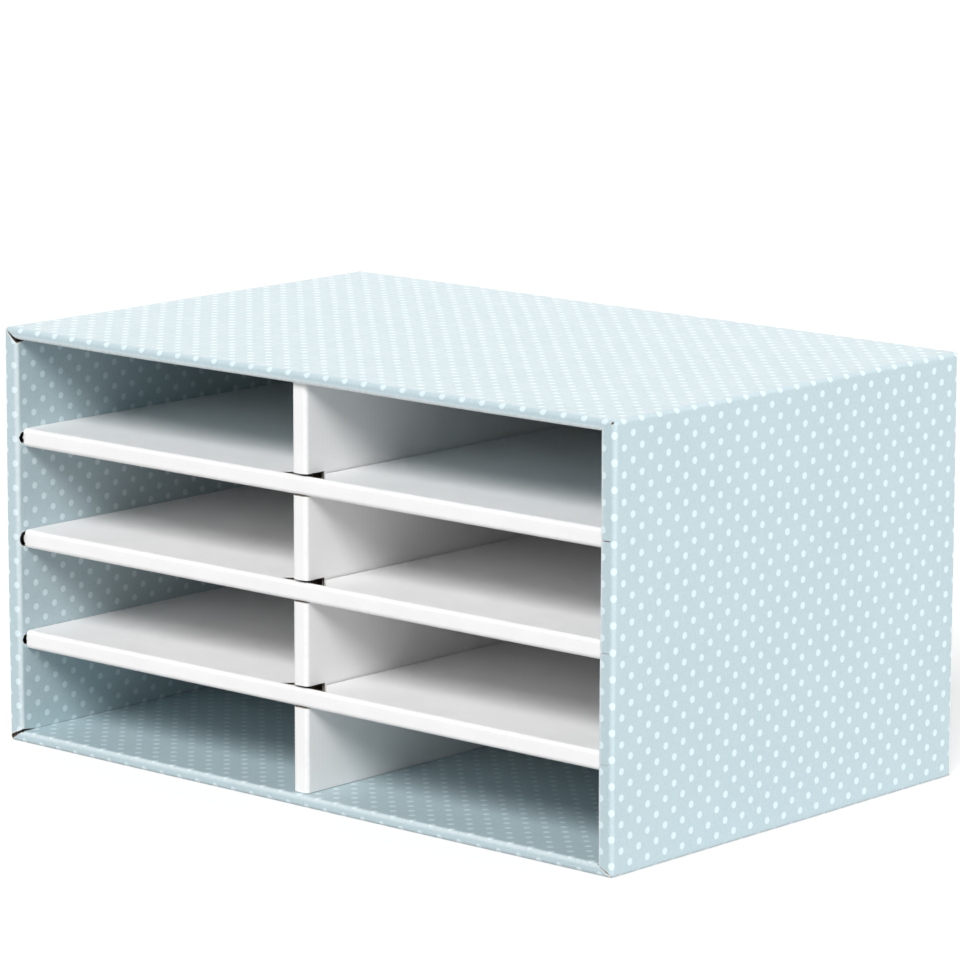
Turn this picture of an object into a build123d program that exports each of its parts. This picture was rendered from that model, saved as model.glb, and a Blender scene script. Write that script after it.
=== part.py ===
from build123d import *
import os
from math import sqrt

# A flat-pack document sorter of folded corrugated board: an open-fronted sleeve with double walls,
# three hollow shelves that hook into slits in its side walls, and one hollow divider.
# Millimetres. X runs across the front, Y from front to back, Z up from the desk.
# The origin is on the desk, under the middle of the sleeve.

# Overall size
WIDTH = 490.0
DEPTH = 320.0
HEIGHT = 260.0

# Board, its creases, and the hollow between the two plies of a wall
BOARD = 2.0
CREASE_INSIDE = 0.6
SIDE_HOLLOW = 7.0
DECK_HOLLOW = 3.0

# Cut corners of the sleeve's front edges
MITRE_GAP = 0.6
CORNER_RELIEF = 2.0

# Clearance between pieces that lie beside each other
FLAT_FIT = 0.3

# Back closure and the sleeve's glued seam
BACK_INSET = 3.0
FLAP_FIT = 0.4
DUST_WIDTH = 120.0
TUCK_LENGTH = 15.0
TUCK_FIT = 0.6
TUCK_INSET = 3.0
TUCK_CORNER = 6.0
GLUE_WIDTH = 35.0

# Shelves
SHELF_NAMES = ("lower_shelf", "middle_shelf", "upper_shelf")
SHELF_THICK = 11.5
SHELF_SETBACK = 5.0
SHELF_REAR_GAP = 4.0
SHELF_END_FIT = 0.4
TOP_ROW_EXTRA = 3.5

# Tapered tabs on the shelf ends, and the slits that take them
TAB_REACH = 7.4
TAB_ROOT = 2.4
TAB_TIP = 0.9
TAB_FIT = 0.35
TAB_TIP_FIT = 0.5
TAB_FRONT = 4.0
TAB_REAR = 25.0
TAB_BURIED = 20.0
TAB_SHOULDER = 3.0
SLIT_FLARE = 6.6
SLIT_FLARE_LENGTH = 25.0

# Divider, its notches, and the slots in the shelves that take it, which widen to a mouth in the decks
DIVIDER_THICK = 11.5
DIVIDER_SETBACK = 5.0
BRIDGE = 15.0
SLOT_FIT = 1.0
NOTCH_FIT = 0.5
NOTCH_LIFT = 1.5
MOUTH_REACH = 13.0

# Worked out from the sizes above
FOLD_RADIUS = BOARD + CREASE_INSIDE
SIDE = 2 * BOARD + SIDE_HOLLOW
DECK = 2 * BOARD + DECK_HOLLOW
FRONT = -DEPTH / 2
REAR = DEPTH / 2
DUST_REAR = REAR - BOARD - FLAP_FIT
LINING_REAR = DUST_REAR - BOARD - FLAT_FIT
INSERT_REAR = DUST_REAR - BOARD - SHELF_REAR_GAP
INSIDE_HALF_WIDTH = WIDTH / 2 - SIDE

SHELF_FRONT = FRONT + SHELF_SETBACK
SHELF_DEPTH = INSERT_REAR - SHELF_FRONT
SHELF_LENGTH = 2 * (INSIDE_HALF_WIDTH - SHELF_END_FIT)
ROWS = len(SHELF_NAMES) + 1
ROW_CLEAR = (HEIGHT - 2 * DECK - len(SHELF_NAMES) * SHELF_THICK - TOP_ROW_EXTRA) / ROWS
SHELF_LEVELS = [
    DECK + ROW_CLEAR + SHELF_THICK / 2 + row * (ROW_CLEAR + SHELF_THICK)
    for row in range(len(SHELF_NAMES))
]
TAB_Y_FRONT = SHELF_FRONT + TAB_FRONT
TAB_Y_REAR = INSERT_REAR - TAB_REAR

DIVIDER_FRONT = FRONT + DIVIDER_SETBACK
DIVIDER_DEPTH = INSERT_REAR - DIVIDER_FRONT
DIVIDER_HEIGHT = HEIGHT - 2 * DECK - 2 * FLAT_FIT
SLOT_WIDTH = DIVIDER_THICK + 2 * SLOT_FIT
SLOT_FRONT = SHELF_FRONT + BRIDGE
NOTCH_END = SLOT_FRONT + NOTCH_FIT

TUCK_LOW = BOARD + TUCK_FIT
# Sweeps that only have to pass right through a piece reach this far past it
PAST = 1.0

# Inward direction, half run and wall thickness of each wall of the sleeve
WALLS = {
    "top": (Vector(0, 0, -1), WIDTH / 2, DECK),
    "bottom": (Vector(0, 0, 1), WIDTH / 2, DECK),
    "left": (Vector(1, 0, 0), HEIGHT / 2, SIDE),
    "right": (Vector(-1, 0, 0), HEIGHT / 2, SIDE),
}
OUTER_CENTRE = {
    "top": Vector(0, 0, HEIGHT),
    "bottom": Vector(0, 0, 0),
    "left": Vector(-WIDTH / 2, 0, HEIGHT / 2),
    "right": Vector(WIDTH / 2, 0, HEIGHT / 2),
}
BACKWARD = Vector(0, 1, 0)


def section_plane(origin, along, inward):
    """Plane for a panel's section: local X along its outer face, local Y into the board."""
    return Plane(origin=origin, x_dir=along, z_dir=along.cross(inward))


def fold_panel(plane, length, run, start_fold=True, end_fold=True):
    """One panel of board between two creases: half of each fold belongs to it."""
    outer_mid = FOLD_RADIUS * (1 - sqrt(0.5))
    inner_mid = FOLD_RADIUS - CREASE_INSIDE * sqrt(0.5)
    start = FOLD_RADIUS if start_fold else 0
    end = length - FOLD_RADIUS if end_fold else length
    with BuildPart() as panel:
        with BuildSketch(plane):
            with BuildLine():
                Line((start, 0), (end, 0))
                if end_fold:
                    RadiusArc((end, 0), (length - outer_mid, outer_mid), -FOLD_RADIUS)
                    Line((length - outer_mid, outer_mid), (length - inner_mid, inner_mid))
                    RadiusArc((length - inner_mid, inner_mid), (end, BOARD), CREASE_INSIDE)
                else:
                    Line((end, 0), (end, BOARD))
                Line((end, BOARD), (start, BOARD))
                if start_fold:
                    RadiusArc((start, BOARD), (inner_mid, inner_mid), CREASE_INSIDE)
                    Line((inner_mid, inner_mid), (outer_mid, outer_mid))
                    RadiusArc((outer_mid, outer_mid), (start, 0), -FOLD_RADIUS)
                else:
                    Line((start, BOARD), (start, 0))
            make_face()
        extrude(amount=run / 2, both=True)
    return panel.part


def corner_points():
    """Where the four front corners of the sleeve have their creases cut away."""
    inset = FOLD_RADIUS * (1 - sqrt(1 / 3))
    return [
        (x, FRONT + inset, z)
        for x in (-WIDTH / 2 + inset, WIDTH / 2 - inset)
        for z in (inset, HEIGHT - inset)
    ]


def outer_panel(name, wall_rear, rear_fold):
    """Outer ply of one wall: creased at both side edges, at the front, and maybe at the rear."""
    inward, half_run, _ = WALLS[name]
    run_direction = BACKWARD.cross(inward)
    front_line = OUTER_CENTRE[name] + BACKWARD * FRONT
    corner = OUTER_CENTRE[name] - run_direction * half_run
    depth_section = section_plane(front_line, BACKWARD, inward)
    ring_section = section_plane(corner, run_direction, inward)
    with BuildPart() as panel:
        add(fold_panel(depth_section, wall_rear - FRONT, 2 * half_run, True, rear_fold))
        add(fold_panel(ring_section, 2 * half_run, 2 * DEPTH), mode=Mode.INTERSECT)
        with Locations(*corner_points()):
            Sphere(CORNER_RELIEF, mode=Mode.SUBTRACT)
        if wall_rear > DUST_REAR:
            with Locations(*[(side * WIDTH / 2, REAR, HEIGHT / 2) for side in (-1, 1)]):
                Box(2 * BACK_INSET, 2 * (REAR - DUST_REAR), 2 * HEIGHT, mode=Mode.SUBTRACT)
    return panel.part


def front_edge(name):
    """Narrow front face of one wall, mitred to its neighbours with a small gap."""
    inward, half_run, thick = WALLS[name]
    side_step = SIDE if name in ("top", "bottom") else DECK
    front_line = OUTER_CENTRE[name] + BACKWARD * FRONT
    run_direction = BACKWARD.cross(inward)
    mitre_plane = Plane(origin=front_line, x_dir=run_direction, z_dir=run_direction.cross(inward))
    outer_half = half_run - MITRE_GAP / 2
    inner_half = outer_half - side_step
    with BuildPart() as edge:
        add(fold_panel(section_plane(front_line, inward, BACKWARD), thick, 2 * half_run))
        with BuildSketch(mitre_plane):
            with BuildLine():
                Polyline(
                    (-outer_half, 0), (outer_half, 0), (inner_half, thick), (-inner_half, thick), close=True
                )
            make_face()
        extrude(amount=2 * FOLD_RADIUS, both=True, mode=Mode.INTERSECT)
        with Locations(*corner_points()):
            Sphere(CORNER_RELIEF, mode=Mode.SUBTRACT)
    return edge.part


def lining(name):
    """Inner ply of one wall, folded back from the front edge and running to the rear flaps."""
    inward, half_run, thick = WALLS[name]
    side_step = SIDE if name in ("top", "bottom") else DECK
    front_line = OUTER_CENTRE[name] + BACKWARD * FRONT + inward * thick
    plane = section_plane(front_line, BACKWARD, inward * -1)
    run = 2 * (half_run - side_step - FLAT_FIT / 2)
    return fold_panel(plane, LINING_REAR - FRONT, run, True, False)


def slit_tool():
    """The three tapered slits of both side walls, open at the front so that the shelves slide in."""
    reach = INSIDE_HALF_WIDTH + TAB_REACH + TAB_TIP_FIT
    mouth = INSIDE_HALF_WIDTH - SHELF_END_FIT
    with BuildPart() as tool:
        with BuildSketch(Plane.XZ.offset(-FRONT + PAST)):
            for level in SHELF_LEVELS:
                for side in (-1, 1):
                    with BuildLine():
                        Polyline(
                            (side * mouth, level - TAB_ROOT / 2 - TAB_FIT),
                            (side * reach, level - TAB_TIP / 2 - TAB_FIT),
                            (side * reach, level + TAB_TIP / 2 + TAB_FIT),
                            (side * mouth, level + TAB_ROOT / 2 + TAB_FIT),
                            close=True,
                        )
                    make_face()
        extrude(amount=-(TAB_Y_REAR + TAB_TIP_FIT - FRONT + PAST))
    return tool.part


def flare_tool():
    """Where the slits of the linings stand open, spread by the ends of the shelves."""
    with BuildPart() as tool:
        for side in (-1, 1):
            with BuildSketch(Plane.YZ.offset(side * (INSIDE_HALF_WIDTH + BOARD / 2))):
                for level in SHELF_LEVELS:
                    with BuildLine():
                        Polyline(
                            (FRONT, level),
                            (SHELF_FRONT, level - SLIT_FLARE / 2),
                            (SHELF_FRONT + SLIT_FLARE_LENGTH, level),
                            (SHELF_FRONT, level + SLIT_FLARE / 2),
                            close=True,
                        )
                    make_face()
            extrude(amount=BOARD, both=True)
    return tool.part


def slit_piece(piece, *tools):
    """A piece of a side wall with the shelf slits cut out of it."""
    with BuildPart() as cut:
        add(piece)
        for tool in tools:
            add(tool, mode=Mode.SUBTRACT)
    return cut.part


def glue_flap():
    """Strip of the sleeve's seam, glued inside the left wall above the bottom crease."""
    front = FRONT + FOLD_RADIUS + FLAT_FIT
    against_wall = -WIDTH / 2 + BOARD
    with BuildPart() as flap:
        with BuildSketch(Plane.XY.offset(FOLD_RADIUS)):
            with Locations((against_wall, front)):
                Rectangle(BOARD, LINING_REAR - front, align=(Align.MIN, Align.MIN))
        extrude(amount=GLUE_WIDTH)
    return flap.part


def dust_flap(name):
    """Side flap folded across the rear of the sleeve, inside the back panel."""
    inward, half_run, _ = WALLS[name]
    rear_line = OUTER_CENTRE[name] + BACKWARD * DUST_REAR
    plane = section_plane(rear_line, inward, BACKWARD * -1)
    run = 2 * (half_run - DECK - FLAT_FIT)
    return fold_panel(plane, DUST_WIDTH, run, True, False)


def back_panel():
    """Back of the sorter, hanging from the rear crease of the top."""
    plane = section_plane(Vector(0, REAR, HEIGHT), Vector(0, 0, -1), BACKWARD * -1)
    return fold_panel(plane, HEIGHT - TUCK_LOW, WIDTH - 2 * BACK_INSET)


def tuck_flap():
    """Flap along the foot of the back panel, tucked between the two plies of the bottom."""
    plane = section_plane(Vector(0, REAR, TUCK_LOW), BACKWARD * -1, Vector(0, 0, 1))
    with BuildPart() as flap:
        add(fold_panel(plane, TUCK_LENGTH, 2 * (INSIDE_HALF_WIDTH - TUCK_INSET), True, False))
        front_face = flap.faces().sort_by(Axis.Y)[0]
        chamfer(front_face.edges().filter_by(Axis.Z), TUCK_CORNER)
    return flap.part


def divider_slot():
    """Slot through a shelf, open at its rear, that the divider stands in."""
    with BuildPart() as slot:
        with BuildSketch(Plane.XY):
            with Locations((0, SLOT_FRONT)):
                Rectangle(SLOT_WIDTH, INSERT_REAR + PAST - SLOT_FRONT, align=(Align.CENTER, Align.MIN))
        extrude(amount=HEIGHT)
    return slot.part


def slot_mouth():
    """Mouth in front of a deck's slot, widest at the front crease, where the divider hooks in."""
    front = SHELF_FRONT + FOLD_RADIUS
    wide = DIVIDER_THICK / 2 + MOUTH_REACH
    narrow = SLOT_WIDTH / 2
    with BuildPart() as mouth:
        with BuildSketch(Plane.XY):
            with BuildLine():
                Polyline((-wide, front), (wide, front), (narrow, SLOT_FRONT), (-narrow, SLOT_FRONT), close=True)
            make_face()
        extrude(amount=HEIGHT)
    return mouth.part


def shelf_panels(level):
    """The four panels of a hollow shelf, by name, before its slot is cut."""
    up = Vector(0, 0, 1)
    down = Vector(0, 0, -1)
    upper_front = Vector(0, SHELF_FRONT, level + SHELF_THICK / 2)
    lower_front = Vector(0, SHELF_FRONT, level - SHELF_THICK / 2)
    upper_rear = Vector(0, INSERT_REAR, level + SHELF_THICK / 2)
    return {
        "deck": fold_panel(section_plane(upper_front, BACKWARD, down), SHELF_DEPTH, SHELF_LENGTH),
        "underside": fold_panel(section_plane(lower_front, BACKWARD, up), SHELF_DEPTH, SHELF_LENGTH),
        "front_edge": fold_panel(section_plane(upper_front, down, BACKWARD), SHELF_THICK, SHELF_LENGTH),
        "rear_edge": fold_panel(section_plane(upper_rear, down, BACKWARD * -1), SHELF_THICK, SHELF_LENGTH),
    }


def shelf_end_tabs(level):
    """Tapered strips glued between the plies at both ends of a shelf, which hook into the slits."""
    end = SHELF_LENGTH / 2
    tip = INSIDE_HALF_WIDTH + TAB_REACH
    core_half = SHELF_THICK / 2 - BOARD
    with BuildPart() as tabs:
        with BuildSketch(Plane.XZ.offset(-TAB_Y_FRONT)):
            for side in (-1, 1):
                with BuildLine():
                    Polyline(
                        (side * (end - TAB_BURIED), level - core_half),
                        (side * (end - TAB_SHOULDER), level - core_half),
                        (side * end, level - TAB_ROOT / 2),
                        (side * tip, level - TAB_TIP / 2),
                        (side * tip, level + TAB_TIP / 2),
                        (side * end, level + TAB_ROOT / 2),
                        (side * (end - TAB_SHOULDER), level + core_half),
                        (side * (end - TAB_BURIED), level + core_half),
                        close=True,
                    )
                make_face()
        extrude(amount=-(TAB_Y_REAR - TAB_Y_FRONT))
    return tabs.part


def shelf_pieces(level):
    """All pieces of one shelf, by name, with the divider's slot cut through."""
    slot = divider_slot()
    mouth = slot_mouth()
    pieces = {}
    for name, panel in shelf_panels(level).items():
        with BuildPart() as slotted:
            add(panel)
            add(slot, mode=Mode.SUBTRACT)
            if name == "deck":
                add(mouth, mode=Mode.SUBTRACT)
        pieces[name] = slotted.part
    pieces["end_tabs"] = shelf_end_tabs(level)
    return pieces


def notch_tool():
    """Notches in the divider's front for the shelves, with room above them."""
    start = DIVIDER_FRONT - PAST
    with BuildPart() as tool:
        with BuildSketch(Plane.YZ):
            for level in SHELF_LEVELS:
                low = level - SHELF_THICK / 2 - NOTCH_FIT
                high = level + SHELF_THICK / 2 + NOTCH_LIFT
                with Locations((start, low)):
                    Rectangle(NOTCH_END - start, high - low, align=(Align.MIN, Align.MIN))
        extrude(amount=DIVIDER_THICK, both=True)
    return tool.part


def divider_pieces():
    """The four panels of the hollow divider, by name, with the shelf notches cut out."""
    right = Vector(1, 0, 0)
    middle = HEIGHT / 2
    left_front = Vector(-DIVIDER_THICK / 2, DIVIDER_FRONT, middle)
    right_front = Vector(DIVIDER_THICK / 2, DIVIDER_FRONT, middle)
    left_rear = Vector(-DIVIDER_THICK / 2, INSERT_REAR, middle)
    panels = {
        "left_ply": (section_plane(left_front, BACKWARD, right), DIVIDER_DEPTH),
        "right_ply": (section_plane(right_front, BACKWARD, right * -1), DIVIDER_DEPTH),
        "front_edge": (section_plane(left_front, right, BACKWARD), DIVIDER_THICK),
        "rear_edge": (section_plane(left_rear, right, BACKWARD * -1), DIVIDER_THICK),
    }
    notches = notch_tool()
    pieces = {}
    for name, (plane, length) in panels.items():
        with BuildPart() as notched:
            add(fold_panel(plane, length, DIVIDER_HEIGHT))
            add(notches, mode=Mode.SUBTRACT)
        pieces[name] = notched.part
    return pieces


def sleeve_pieces():
    """Every piece of the sleeve and its back closure, by name."""
    slits = slit_tool()
    flares = flare_tool()
    pieces = {
        "top_panel": outer_panel("top", REAR, True),
        "bottom_panel": outer_panel("bottom", REAR, False),
        "left_panel": outer_panel("left", DUST_REAR, True),
        "right_panel": outer_panel("right", DUST_REAR, True),
        "top_front_edge": front_edge("top"),
        "bottom_front_edge": front_edge("bottom"),
        "left_front_edge": slit_piece(front_edge("left"), slits),
        "right_front_edge": slit_piece(front_edge("right"), slits),
        "top_lining": lining("top"),
        "bottom_lining": lining("bottom"),
        "left_lining": slit_piece(lining("left"), slits, flares),
        "right_lining": slit_piece(lining("right"), slits, flares),
        "glue_flap": glue_flap(),
        "left_dust_flap": dust_flap("left"),
        "right_dust_flap": dust_flap("right"),
        "back_panel": back_panel(),
        "back_tuck_flap": tuck_flap(),
    }
    return pieces


def main():
    pieces = sleeve_pieces()
    for name, panel in divider_pieces().items():
        pieces["divider_" + name] = panel
    for shelf, level in zip(SHELF_NAMES, SHELF_LEVELS):
        for name, panel in shelf_pieces(level).items():
            pieces[shelf + "_" + name] = panel
    os.makedirs("parts", exist_ok=True)
    for name, piece in pieces.items():
        piece.label = name
        export_step(piece, f"parts/{name}.step")


main()
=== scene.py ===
"""Looks of the flat-pack document sorter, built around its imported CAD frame.

Every CAD panel is replaced by a sheet of corrugated board: two paper liners with rounded creases, die-cut
slits and notches, and fluting where a cut edge shows it. Sizes are in millimetres until a mesh is made.
"""

from collections import namedtuple
from math import ceil, cos, pi, radians, sin, sqrt

import bmesh
import bpy
from mathutils import Matrix, Vector


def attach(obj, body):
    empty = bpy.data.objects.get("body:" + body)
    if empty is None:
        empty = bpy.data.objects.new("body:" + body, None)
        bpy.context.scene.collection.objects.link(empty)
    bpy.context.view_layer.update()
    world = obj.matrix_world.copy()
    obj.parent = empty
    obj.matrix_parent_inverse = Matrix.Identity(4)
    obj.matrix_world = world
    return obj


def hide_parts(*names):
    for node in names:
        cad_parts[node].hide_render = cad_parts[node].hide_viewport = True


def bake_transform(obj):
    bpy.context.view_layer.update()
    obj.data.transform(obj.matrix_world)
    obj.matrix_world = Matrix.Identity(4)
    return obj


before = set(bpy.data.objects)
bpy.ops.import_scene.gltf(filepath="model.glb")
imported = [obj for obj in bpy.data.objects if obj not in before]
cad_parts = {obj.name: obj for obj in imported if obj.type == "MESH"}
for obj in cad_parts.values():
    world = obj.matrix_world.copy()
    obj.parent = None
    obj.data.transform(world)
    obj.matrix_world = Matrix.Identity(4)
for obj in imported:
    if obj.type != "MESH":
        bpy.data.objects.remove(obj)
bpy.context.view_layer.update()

MM = 0.001
TINY = 0.01

# Sizes of the sorter, as in its CAD source
WIDTH = 490.0
DEPTH = 320.0
HEIGHT = 260.0
BOARD = 2.0
CREASE_INSIDE = 0.6
SIDE_HOLLOW = 7.0
DECK_HOLLOW = 3.0
FOLD_RADIUS = BOARD + CREASE_INSIDE
SIDE = 2 * BOARD + SIDE_HOLLOW
DECK = 2 * BOARD + DECK_HOLLOW
FLAT_FIT = 0.3
FLAP_FIT = 0.4
BACK_INSET = 3.0
DUST_WIDTH = 120.0
TUCK_FIT = 0.6
TUCK_LOW = BOARD + TUCK_FIT
TUCK_LENGTH = 15.0
TUCK_INSET = 3.0
TUCK_CORNER = 6.0
GLUE_WIDTH = 35.0
SHELF_REAR_GAP = 4.0
FRONT = -DEPTH / 2
REAR = DEPTH / 2
DUST_REAR = REAR - BOARD - FLAP_FIT
LINING_REAR = DUST_REAR - BOARD - FLAT_FIT
INSERT_REAR = DUST_REAR - BOARD - SHELF_REAR_GAP
INSIDE_HALF_WIDTH = WIDTH / 2 - SIDE

SHELF_NAMES = ("lower_shelf", "middle_shelf", "upper_shelf")
SHELF_LEVELS = (64.75, 128.25, 191.75)
SHELF_THICK = 11.5
SHELF_SETBACK = 5.0
SHELF_END_FIT = 0.4
SHELF_FRONT = FRONT + SHELF_SETBACK
SHELF_DEPTH = INSERT_REAR - SHELF_FRONT
SHELF_LENGTH = 2 * (INSIDE_HALF_WIDTH - SHELF_END_FIT)
TAB_REACH = 7.4
TAB_ROOT = 2.4
TAB_TIP = 0.9
TAB_FIT = 0.35
TAB_TIP_FIT = 0.5
TAB_SETBACK = 4.0
TAB_REAR_GAP = 25.0
TAB_FRONT = SHELF_FRONT + TAB_SETBACK
TAB_REAR = INSERT_REAR - TAB_REAR_GAP
TAB_BURIED = 20.0
TAB_SHOULDER = 3.0
SLIT_FLARE_LENGTH = 25.0

DIVIDER_THICK = 11.5
DIVIDER_SETBACK = 5.0
DIVIDER_FRONT = FRONT + DIVIDER_SETBACK
DIVIDER_DEPTH = INSERT_REAR - DIVIDER_FRONT
DIVIDER_HEIGHT = HEIGHT - 2 * DECK - 2 * FLAT_FIT
DIVIDER_FOOT = DECK + FLAT_FIT
BRIDGE = 15.0
SLOT_FIT = 1.0
SLOT_WIDTH = DIVIDER_THICK + 2 * SLOT_FIT
SLOT_FRONT = SHELF_FRONT + BRIDGE
NOTCH_FIT = 0.5
NOTCH_END = SLOT_FRONT + NOTCH_FIT
NOTCH_LIFT = 1.5
MOUTH_REACH = 13.0

# Make-up of the board, and how finely it is meshed
LINER = 0.35
MEDIUM = 0.26
CRUSHED = 0.9
FLUTE_PITCH = 3.8
FLUTE_SAMPLES = 6
FLUTE_BAND = 12.0
EDGE_GAP = 0.1
FOLD_STEPS = 6
GRID_STEP = 28.0
SUPPORT = 0.5
SHARP_ANGLE = 50.0

# The slits in each side wall, from the lowest shelf up: half the gap between their lips in the front edge,
# how far behind the front they begin to open, and how high the shelf's end has sprung them
Slit = namedtuple("Slit", "lip start flare")
SLITS = {
    "left": (Slit(0.05, 2.2, 6.4), Slit(0.05, 1.3, 9.4), Slit(0.05, 1.7, 7.2)),
    "right": (Slit(0.10, 0.3, 9.4), Slit(0.20, 0.3, 9.4), Slit(0.35, 1.2, 7.2)),
}
SLIT_CLOSING = 1.5
FLARE_ROWS = 5

# The shelves' end tabs: the rounded nose of each shelf, how its front is blunted, and the neck, knee and
# heel of the tapered strip behind it
Nose = namedtuple("Nose", "reach half")
TAB_NOSES = (Nose(0.4, 0.9), Nose(1.9, 3.2), Nose(1.5, 1.2))
NOSE_SETBACK = 0.12
NOSE_LENGTH = 0.6
BLUNT_REACH = 0.8
BLUNT_HALF = 0.85
NECK_REACH = 0.4
TAB_LEAD_IN = 4.0
KNEE_PLACE = 0.35
KNEE_REACH = 0.8
HEEL_REACH = 0.7
TAB_CORNERS = 10
TAB_BEND = 0.6
CORE_FIT = 0.05

# Flat strip on each side of the crease that the back panel swings on
STRIP_FLAT = 2.5

# Where the print is rubbed, and where the rub is a painted highlight: how strongly along each kind of
# crease and cut, and how far from it
OUTER_RUB = 0.08
# The inner creases of the right and top walls are rubbed at full strength: real wear with a painted
# highlight of the fold catching light
INNER_RUBS_AND_HIGHLIGHTS = {"right": 1.0, "top": 1.0, "left": 0.45, "bottom": 0.45}
CUT_RUB = 1.0
# The rub begins before each crease, so the wear and the painted highlight spread onto the flat beside it
RUB_FROM = -0.4
CUT_FADE = 1.2
CORNER_RUB_REACH = 2.0

# Small unevenness of a folded sleeve: its size, and two wavelengths and a phase for each direction
WARP = 0.16
Ripple = namedtuple("Ripple", "first second phase")
ACROSS_RIPPLE = Ripple(230.0, 310.0, 1.3)
ALONG_RIPPLE = Ripple(210.0, 240.0, 2.1)
RISE_RIPPLE = Ripple(260.0, 190.0, 0.4)

# Polka dots: staggered rows, measured round the sleeve and along the sheet from the front, how much closer
# they lie along the top and the bottom, and how much of the print the crease to the left wall takes up
DOT_RING_SPACING = 7.64
DOT_DEPTH_SPACING = 7.71
DOT_RING_START = 251.54
DOT_DEPTH_START = -0.19
PRINT_STRETCH = {"right": 1.0, "top": 1.0125, "left": 1.0, "bottom": 1.0125}
LEFT_CREASE_PRINT = 1.74
DOT_RADIUS = 2.1
DOT_SOFT = 0.35
RAGGED_SIZE = 1.2
RAGGED_DEPTH = 0.5
NOISE_MIDDLE = 0.5

BACKWARD = Vector((0, 1, 0))
RIGHTWARD = Vector((1, 0, 0))
UPWARD = Vector((0, 0, 1))

# Inward direction, middle of the outer face, half run, thickness, and mitre step of each sleeve wall
Wall = namedtuple("Wall", "inward centre half thick step")
WALLS = {
    "right": Wall(-RIGHTWARD, Vector((WIDTH / 2, 0, HEIGHT / 2)), HEIGHT / 2, SIDE, DECK),
    "top": Wall(-UPWARD, Vector((0, 0, HEIGHT)), WIDTH / 2, DECK, SIDE),
    "left": Wall(RIGHTWARD, Vector((-WIDTH / 2, 0, HEIGHT / 2)), HEIGHT / 2, SIDE, DECK),
    "bottom": Wall(UPWARD, Vector((0, 0, 0)), WIDTH / 2, DECK, SIDE),
}

# Gap of the mitres, how far each is cut back at the start and the end of its front edge, at even steps from
# the outer crease to the inner one, and how far behind the front the lining's corner is cut back as well
MITRE_GAP = 0.06
PIN_HOLE = (0.0, 0.4, 1.5, 0.4) + 9 * (0.0,)
CORNER_CUTS = {
    "right": ((1.0, 1.2, 0.6, 0.1), PIN_HOLE),
    "top": (PIN_HOLE, (0.0, 0.2, 0.3, 0.3)),
    "left": ((0.3, 1.5, 2.6, 2.4), (3.4, 2.8, 1.9, 1.3)),
    "bottom": ((0.5, 0.4, 0.2, 0.1), (0.5, 0.6, 0.3, 0.1)),
}
CORNER_FADE = 12.0
EDGE_STEPS = 9

# One grid line of a panel: its place on the outer face, how far the face has dropped in a fold, the
# direction into the board there, the distance along the sheet, and how strong its rub mark is, which is
# wear and on some inner creases a painted highlight
Line = namedtuple("Line", "place drop lean sink sheet rub")
Cut = namedtuple("Cut", "place rub")
Panel = namedtuple("Panel", "origin along across inward rows columns")
QUARTER = FOLD_RADIUS * pi / 4

# What a face of the mesh shows, in the order of a piece's materials
FACE, REVERSE, CORE, CUT = range(4)

# The skins of a sheet: how deep in the board its near and far side lie, and what each shows
LINER_SKINS = ((0.0, LINER, FACE, CORE), (BOARD - LINER, BOARD, CORE, REVERSE))
CRUSHED_SKINS = ((0.0, CRUSHED, FACE, REVERSE),)

# Which materials a piece has
PRINTED = "printed_board"
WHITE = "white_board"


# Sheets and folds

def sheet_length(length):
    """Length of a panel measured along the sheet, between the middles of its two creases."""
    return length + 2 * (QUARTER - FOLD_RADIUS)


def spread(keys):
    """The keys in order, with even grid places between them."""
    keys = sorted(set(round(key, 4) for key in keys))
    places = []
    for low, high in zip(keys, keys[1:]):
        count = max(1, ceil((high - low) / GRID_STEP))
        places.extend(low + (high - low) * n / count for n in range(count))
    places.append(keys[-1])
    return places


def crease_rub(share):
    """How much of a crease's rub and painted highlight shows, from its edge at nought to its middle at one.
    """
    return (share - RUB_FROM) / (1 - RUB_FROM)


def fold_lines(length, start_rub, end_rub, stops=()):
    """Grid lines across a panel, with half a fold at each end, or a cut where no rub is given."""
    low = 0.0 if start_rub is None else FOLD_RADIUS
    high = length if end_rub is None else length - FOLD_RADIUS
    sheet_low = 0.0 if start_rub is None else QUARTER
    keys = [low, high, *stops]
    if high - low > 3 * SUPPORT:
        keys.extend((low + SUPPORT, high - SUPPORT))
    lines = [Line(place, 0.0, 0.0, 1.0, sheet_low + place - low, 0.0) for place in spread(keys)]
    lines[0] = lines[0]._replace(rub=(start_rub or 0.0) * crease_rub(0.0))
    lines[-1] = lines[-1]._replace(rub=(end_rub or 0.0) * crease_rub(0.0))
    for step in range(1, FOLD_STEPS + 1):
        share = step / FOLD_STEPS
        angle = pi / 4 * share
        reach = FOLD_RADIUS * sin(angle)
        drop = FOLD_RADIUS * (1 - cos(angle))
        if start_rub is not None:
            sheet = sheet_low - FOLD_RADIUS * angle
            rub = start_rub * crease_rub(share)
            lines.insert(0, Line(low - reach, drop, sin(angle), cos(angle), sheet, rub))
        if end_rub is not None:
            sheet = sheet_low + high - low + FOLD_RADIUS * angle
            rub = end_rub * crease_rub(share)
            lines.append(Line(high + reach, drop, -sin(angle), cos(angle), sheet, rub))
    return lines


def whole_fold_lines(flat, rub):
    """Grid lines over a whole fold, from a flat strip before it to a flat strip after it."""
    lines = [Line(-flat, 0.0, 0.0, 1.0, -flat, 0.0)]
    for step in range(2 * FOLD_STEPS + 1):
        share = step / FOLD_STEPS
        angle = pi / 4 * share
        place = FOLD_RADIUS * sin(angle)
        drop = FOLD_RADIUS * (1 - cos(angle))
        shown = rub * crease_rub(1 - abs(1 - share))
        lines.append(Line(place, drop, -sin(angle), cos(angle), FOLD_RADIUS * angle, shown))
    lines.append(Line(FOLD_RADIUS, FOLD_RADIUS + flat, -1.0, 0.0, 2 * QUARTER + flat, 0.0))
    return lines


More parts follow.
